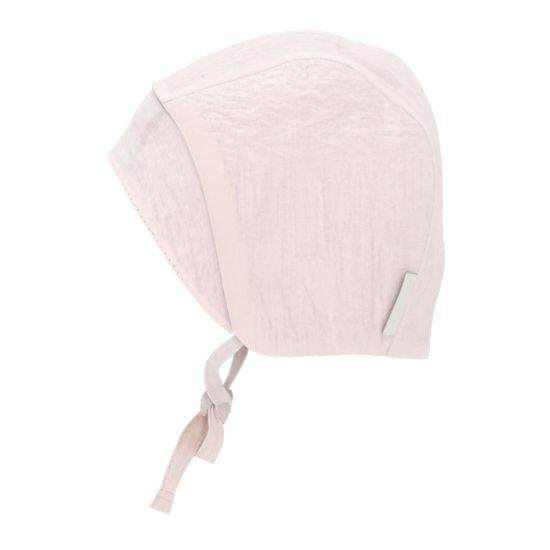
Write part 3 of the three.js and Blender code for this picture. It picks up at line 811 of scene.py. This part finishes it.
def brim_mesh(name, seed):
    """The brim, from its root tucked under the front edge to its outer edge, and its lines of stitches."""
    noise = Noise(seed)
    seat, normal, back, lengths = brim_stations()
    total = lengths[-1]

    def both_sides(values, turn):
        return curve_through(np.concatenate([turn(values[:0:-1]), values]))

    seats, normals, backs = (both_sides(values, mirrored) for values in (seat, normal, back))
    rims = both_sides(brim_edge(lengths / total), mirrored)
    runs = both_sides(lengths[:, None], lambda values: -values)
    place = crowded(BRIM_GRID[0], 0, 1, (0, 0.0004, 0.0012, 0.0028, 0.005))
    s, n, b, r = seats(place), unit(normals(place)), unit(backs(place)), rims(place)
    run = runs(place)[..., 0]
    share = np.abs(run) / total
    bow = BRIM_BOW["middle"] + (BRIM_BOW["sides"] - BRIM_BOW["middle"]) * np.minimum(1, 2 * share)
    tuck = BRIM_TUCK + (CHIN_TUCK - BRIM_TUCK) * share**4
    width = np.linalg.norm(r - s, axis=-1)
    tucked = -np.array([1, 0.985, 0.95, 0.88, 0.7, 0.45, 0.2])
    rim = np.concatenate([np.linspace(0.865, 0.985, 12), [0.988, 0.992, 0.9955, 0.998, 1]])
    wide = np.linspace(0, 0.86, BRIM_GRID[1] - len(tucked) - len(rim))
    out = np.concatenate([tucked, wide, rim])[None, :]
    ahead = np.clip(out, 0, 1)[..., None]
    roll = (-b * width[:, None] - (r - s))[:, None] * BRIM_ROLL * ahead * (1 - ahead) ** 2
    p = s[:, None] + (r - s)[:, None] * ahead + roll
    p = p + n[:, None] * (bow * width)[:, None, None] * 4 * ahead * (1 - ahead)
    p = p - b[:, None] * (tuck[:, None] * np.minimum(out, 0))[..., None]
    across = unit(np.gradient(p, axis=1))
    around = unit(np.gradient(p, axis=0))
    normal = unit(np.cross(across, around))
    from_rim = distance_to(p, p[::2, -1])
    along = run[:, None] + 0 * out
    beside = width[:, None] * out
    lengthwise = crinkles(noise, beside, along, 5.0, 15) + 0.8 * crinkles(noise, along + 60, beside, 4.0, 7)
    mottle = noise(beside / 3.2, along / 3.6) + 0.8 * noise(beside / 6, along / 8 + 13)
    calm = eased(from_rim, 3.6, 6) * eased(beside, -1, 5)
    puckers = 0.22 * noise(along / 2.4, beside / 6) * hill(from_rim, 3, 2)
    fine = (0.15 * lengthwise + 0.21 * mottle) * calm + puckers
    groove = 0.14 * hill(from_rim, BRIM_STITCH["inside"], 0.45)
    hem = 1 - eased(from_rim, *BRIM_FOLD)
    broad = noise(along / 30, beside / 26 + 2) * eased(beside, 0, 14) * eased(from_rim, 0, 6)
    height = fine + broad + 0.18 * hem - groove
    wall = rounded(WALL, from_rim, distance_to(p, p[::2, 0]), distance_to(p, p[0]), distance_to(p, p[-1]))
    middle = p + normal * (height - WALL / 2)[..., None]
    # Painted shade under the gusset's corners: it darkens only the brim's colour, not its shape
    corner_shade = BRIM_CORNER_SHADE["depth"] * hill(np.abs(along), BRIM_CORNER_SHADE["along"], BRIM_CORNER_SHADE["spread"])
    corner_shade = corner_shade * (1 - eased(beside, *BRIM_CORNER_SHADE["fade"])) * eased(beside, -1, 1)
    cloth = np.stack([beside, along, fine - groove - corner_shade], axis=-1)
    lines = stitch_lines(middle, normal, wall, from_rim, BRIM_STITCH["inside"])
    return sheet_mesh(name, middle, normal, wall, cloth, hem), lines


gusset = add_piece(gusset_mesh("gusset_cloth", seed=37), gauze_blush, ["gusset"])
left_shape = panel_mesh("left_panel_cloth", side=1, seed=11)
left_panel = add_piece(left_shape, gauze_panel, ["left_side_panel"])
right_shape = panel_mesh("right_panel_cloth", side=-1, seed=23)
right_panel = add_piece(right_shape, gauze_panel, ["right_side_panel"])
brim_shape, brim_lines = brim_mesh("brim_cloth", seed=51)
brim = add_piece(brim_shape, gauze_brim, ["brim"])


# The ties, the knot, the label and the stitches
def tape_grid(rows, wall, steps=None):
    """A flat tape through a table of rows: its middle face, normals, thickness, and places on the tape.
    Rows of six values carry their own thickness before the lean."""
    rows = np.array(rows, float)
    path = curve_through(rows[:, :3])
    sizes = curve_through(rows[:, 3:])
    if steps is None:
        steps = int(lengths_along(path(np.linspace(0, 1, 200)))[-1] / TAPE_STEP)
    place = crowded(steps, 0, 1, (0, 0.0015, 0.004, 0.0075, 0.012))
    centre, tangent, size = path(place), tangent_of(path, place), sizes(place)
    width, lean = size[:, 0], np.radians(size[:, -1])
    across = np.stack([0 * lean, np.cos(lean), np.sin(lean)], axis=-1)
    across = unit(across - tangent * np.sum(across * tangent, axis=-1, keepdims=True))
    normal = unit(np.cross(tangent, across))
    share = crowded(TAPE_COLUMNS, -0.5, 0.5, (0, 0.01, 0.03, 0.06, 0.1))
    beside = share[None, :] * width[:, None]
    middle = centre[:, None] + across[:, None] * beside[..., None]
    along = lengths_along(centre)[:, None] + 0 * beside
    from_side = width[:, None] / 2 - np.abs(beside)
    from_end = np.minimum(along, along[-1, 0] - along)
    thick = size[:, 1:2] if rows.shape[1] == 6 else wall
    thickness = rounded(thick + 0 * beside, from_side, from_end)
    return middle, np.broadcast_to(normal[:, None], middle.shape), thickness, beside, along, from_side


def tape_mesh(name, rows, seed, hem, gathers, folds, shaded):
    """One run of a tie and the lines of stitches by its first edge: a folded tape with soft lengthwise
    creases, a groove by each edge, pleats where the knot gathers it, a hem at its end and a painted
    shade that fades out from the knot."""
    noise = Noise(seed)
    middle, normal, thickness, beside, along, from_side = tape_grid(rows, TIE_WALL)
    creases = 0.30 * noise(beside / 2.6, along / 19) + 0.16 * noise(beside / 1.3, along / 7 + 4)
    groove = 0.20 * hill(from_side, TAPE_STITCH["inside"], 0.4)
    width = beside[:, -1:] - beside[:, :1]
    pleats = np.cos(2 * math.pi * GATHER_PLEATS * beside / width)
    gathered = gathers * pleats * (1 - eased(along, 4, GATHER_REACH))
    crumples = sum(fold_depth(middle[..., 1], middle[..., 2], fold) for fold in folds)
    fine = creases * eased(from_side, 0.2, 1.6) - groove + gathered - crumples
    sway = 0.35 * noise(along / 9, beside / 14 + 2)
    if hem:
        from_end = along[-1, 0] - along
        folded = 1 - eased(from_end, hem - 0.5, hem + 0.4)
        fine = fine - 0.4 * (hill(from_end, hem - 3.6, 0.4) + hill(from_end, hem + 0.4, 0.4))
        thickness = thickness * (1 + 0.25 * folded)
    middle = middle + normal * (fine + sway)[..., None]
    lines = stitch_lines(middle, normal, thickness, beside - beside[:, :1], TAPE_STITCH["inside"])
    cloth = np.stack([beside, along, fine], axis=-1)
    # Painted shade: near the knot the tie takes its material's hem colour, fading out over shaded
    shade = (1 - eased(along, 1, shaded)) * (0.75 + 0.5 * noise(beside / 2.2 + 7, along / 9))
    return sheet_mesh(name, middle, normal, thickness, cloth, np.clip(shade, 0, 1)), lines


def knot_mesh(name, seed):
    """The knot: its strands merged into one skin with creases between them."""
    noise = Noise(seed)
    whole = bmesh.new()
    for rows in KNOT_STRANDS:
        middle, normal, thickness, beside, along, _ = tape_grid(rows, None, KNOT_STEPS)
        cloth = np.stack([beside, along, 0 * along], axis=-1)
        strand = sheet_mesh(name + "_strand", middle, normal, thickness, cloth)
        whole.from_mesh(strand)
        bpy.data.meshes.remove(strand)
    raw = finished_mesh(name + "_raw", whole)
    for kept in ("cloth", "hems_and_shade"):
        raw.attributes.remove(raw.attributes[kept])
    obj = placed(name + "_raw", raw)
    remesh = obj.modifiers.new("merge", "REMESH")
    remesh.mode = "VOXEL"
    remesh.voxel_size = KNOT_VOXEL * MM
    smooth = obj.modifiers.new("soften", "SMOOTH")
    smooth.factor = 0.5
    smooth.iterations = KNOT_SOFTENINGS
    depsgraph = bpy.context.evaluated_depsgraph_get()
    mesh = bpy.data.meshes.new_from_object(obj.evaluated_get(depsgraph))
    bpy.data.objects.remove(obj)
    bpy.data.meshes.remove(raw)
    mesh.name = name
    count = len(mesh.vertices)
    places, normals = np.empty(count * 3), np.empty(count * 3)
    mesh.vertices.foreach_get("co", places)
    mesh.vertices.foreach_get("normal", normals)
    places, normals = places.reshape(-1, 3) / MM, normals.reshape(-1, 3)
    lean = places[:, 1] * 0.35 + places[:, 2] * 0.12
    fine = 0.34 * noise(lean / 0.55, places[:, 2] / 7) + 0.2 * noise(places[:, 1] / 1.4, places[:, 2] / 1.9)
    places = places + normals * fine[:, None]
    mesh.vertices.foreach_set("co", (places * MM).ravel())
    keep_cloth(mesh, np.stack([lean * 3, places[:, 2], fine], axis=-1), np.zeros(count))
    mesh.update()
    mesh.shade_smooth()
    return mesh


def label_mesh(name):
    """A tape folded in two, caught in the seam and standing off the panel."""
    place = np.linspace(*LABEL_ROWS, LABEL_GRID[0])
    slant = unit(seam_joint(place)[0])
    along = tangent_of(seam_line, place / ROWS)
    flat = unit(np.cross(along, slant))
    turn = math.radians(LABEL_TURN_OUT)
    reach = np.array([math.cos(turn), math.sin(turn)])
    off = np.array([-reach[1], reach[0]])
    root = np.array(LABEL_ROOT)
    fold = off * LABEL_FOLD
    last = LABEL_REACH - LABEL_FOLD
    flats = (2.5, 5, 7.4, last)
    out = [root + reach * r + fold for r in (0, *flats)]
    turns = np.radians([45, 90, 135])
    bend = [root + reach * (last + LABEL_FOLD * math.sin(a)) + fold * math.cos(a) for a in turns]
    back = [root + reach * r - fold for r in (*flats[::-1], 0.4)]
    profile = curve_through([(0.1, -0.5), (0.35, 0.6), *out, *bend, *back, (0.6, 0.1)])
    shares = crowded(LABEL_GRID[1], 0, 1, (0, 0.002, 0.005, 0.01, 0.016))
    local, heading = profile(shares), tangent_of(profile, shares)
    base = seam_line(place / ROWS)
    droop = (0.35 * np.sin(np.linspace(0, 5.2, len(place))) + 0.25 * np.linspace(-1, 1, len(place)))[:, None]
    lift = local[None, :, 1] + droop * (np.clip(local[:, 0], 0, 9) / 9)[None, :] ** 1.5
    middle = base[:, None] + flat[:, None] * local[None, :, :1] + slant[:, None] * lift[..., None]
    normal = flat[:, None] * -heading[None, :, 1:] + slant[:, None] * heading[None, :, :1]
    run = lengths_along(base)[:, None] + 0 * lift
    travel = lengths_along(local)[None, :] + 0 * lift
    wall = rounded(LABEL_WALL, run, run[-1, 0] - run, travel, travel[0, -1] - travel)
    cloth = np.stack([travel, run, 0 * run], axis=-1)
    return sheet_mesh(name, middle, unit(normal), wall, cloth)


def stitches_mesh(name, lines, stitch, shown=None):
    """Short threads along lines of points with normals, sunk a little into the cloth, and thinner
    outside of the shares that are shown."""
    chance = np.random.default_rng(STITCH_SEED)
    whole = bmesh.new()
    for points, normals in lines:
        lengths = lengths_along(points)
        count = int((lengths[-1] - stitch["pitch"]) / stitch["pitch"])
        for k in range(count):
            at = (k + 0.8 + chance.uniform(-PITCH_PLAY, PITCH_PLAY)) * stitch["pitch"]
            thickness = stitch["thickness"] * chance.uniform(*THICKNESS_PLAY)
            if shown:
                share = abs(2 * at / lengths[-1] - 1)
                begin, full, less, end = shown
                thickness *= 0.25 + 0.75 * eased(share, begin, full) * (1 - eased(share, less, end))
            ends = [at - stitch["length"] / 2, at, at + stitch["length"] / 2]
            centre = np.array([[np.interp(e, lengths, points[:, i]) for i in range(3)] for e in ends])
            up = unit(np.array([np.interp(at, lengths, normals[:, i]) for i in range(3)]))
            way = unit(centre[2] - centre[0])
            aside = np.cross(up, way)
            rings = []
            for along, size in THREAD_RINGS:
                middle = centre[1] + way * along * stitch["length"] + up * 0.05 * size
                ring = []
                for turn in np.arange(THREAD_SIDES) * 2 * math.pi / THREAD_SIDES:
                    radius = size * thickness / 2
                    place = middle + (aside * math.cos(turn) + up * math.sin(turn)) * radius
                    ring.append(whole.verts.new(place * MM))
                rings.append(ring)
            for a, b in zip(rings[:-1], rings[1:]):
                for i in range(THREAD_SIDES):
                    j = (i + 1) % THREAD_SIDES
                    whole.faces.new((a[i], a[j], b[j], b[i]))
            whole.faces.new(rings[0][::-1])
            whole.faces.new(rings[-1])
    return finished_mesh(name, whole)


# Each tape's rows, seed, hem, pleats' depth, folds, painted shade's reach, material and CAD node, the tail
# last
for name, rows, seed, hem, gathers, folds, shaded, material, node in (
    ("left_tie_tape", NEAR_TIE, 61, None, 0, (), 28, gauze_tape, "left_tie"),
    ("right_tie_tape", FAR_TIE, 67, FAR_HEM, 0, (), 9, gauze_far_lit, "right_tie"),
    ("bow_loop_tape", LOOP, 71, None, 0.42, (), 22, gauze_loop, "bow_loop"),
    ("tie_tail_tape", TAIL, 73, TAIL_HEM, 0.3, TAIL_CREASES, 36, gauze_tail, "tie_tail"),
):
    shape, tape_lines = tape_mesh(name, rows, seed, hem, gathers, folds, shaded)
    add_piece(shape, material, [node])
knot = add_piece(knot_mesh("knot_cloth", seed=79), gauze_knot_shaded, ["tie_knot"])
label = add_piece(label_mesh("folded_label"), cream_tape, ["seam_label"])
add_piece(stitches_mesh("brim_stitches", brim_lines, BRIM_STITCH, BRIM_SHOWN), dusty_thread)
add_piece(stitches_mesh("tail_stitches", tape_lines, TAPE_STITCH), dusty_thread)

speck = bmesh.new()
bmesh.ops.create_icosphere(speck, subdivisions=2, radius=SPECK_RADIUS * MM)
bmesh.ops.translate(speck, verts=speck.verts, vec=Vector(SPECK_AT) * MM)
add_piece(finished_mesh("crown_speck", speck), speck_brown)


# The stage: a pale floor under the hat, a white surround and two soft lights
def add_stage():
    mesh = bpy.data.meshes.new("floor")
    half, height = FLOOR_HALF * MM, FLOOR_Z * MM
    corners = [(-half, -half, height), (half, -half, height), (half, half, height), (-half, half, height)]
    mesh.from_pydata(corners, [], [(0, 1, 2, 3)])
    mesh.materials.append(Shader("floor_white").finished(FLOOR_FINISH))
    placed("floor", mesh)


def aimed(name, data, way, distance):
    """An object at a distance from the target that looks at it."""
    obj = placed(name, data)
    obj.location = (Vector(TARGET) + way * distance) * MM
    obj.rotation_euler = (-way).to_track_quat("-Z", "Y").to_euler()
    return obj


def add_light(name, direction, distance, size, power, colour=(1, 1, 1)):
    light = bpy.data.lights.new(name, "AREA")
    light.shape = "DISK"
    light.size = size * MM
    light.energy = power
    light.color = colour
    aimed(name, light, Vector(direction).normalized(), distance)


def add_camera():
    data = bpy.data.cameras.new("camera")
    data.sensor_width = SENSOR_WIDTH
    data.lens = SENSOR_WIDTH * CAMERA_DISTANCE / FRAME_WIDTH
    data.clip_end = FAR_CLIP * MM
    azimuth, elevation = math.radians(CAMERA_AZIMUTH), math.radians(CAMERA_ELEVATION)
    back = Vector((
        math.sin(azimuth) * math.cos(elevation),
        -math.cos(azimuth) * math.cos(elevation),
        math.sin(elevation),
    ))
    bpy.context.scene.camera = aimed("camera", data, back, CAMERA_DISTANCE)


world = bpy.data.worlds.new("surround")
world.use_nodes = True
background = world.node_tree.nodes["Background"]
background.inputs["Color"].default_value = (1, 1, 1, 1)
background.inputs["Strength"].default_value = WORLD_LIGHT
bpy.context.scene.world = world
bpy.context.scene.view_settings.view_transform = "Standard"
add_stage()
add_light("key", **KEY)
add_light("sky", **SKY)
add_camera()

bpy.context.view_layer.update()
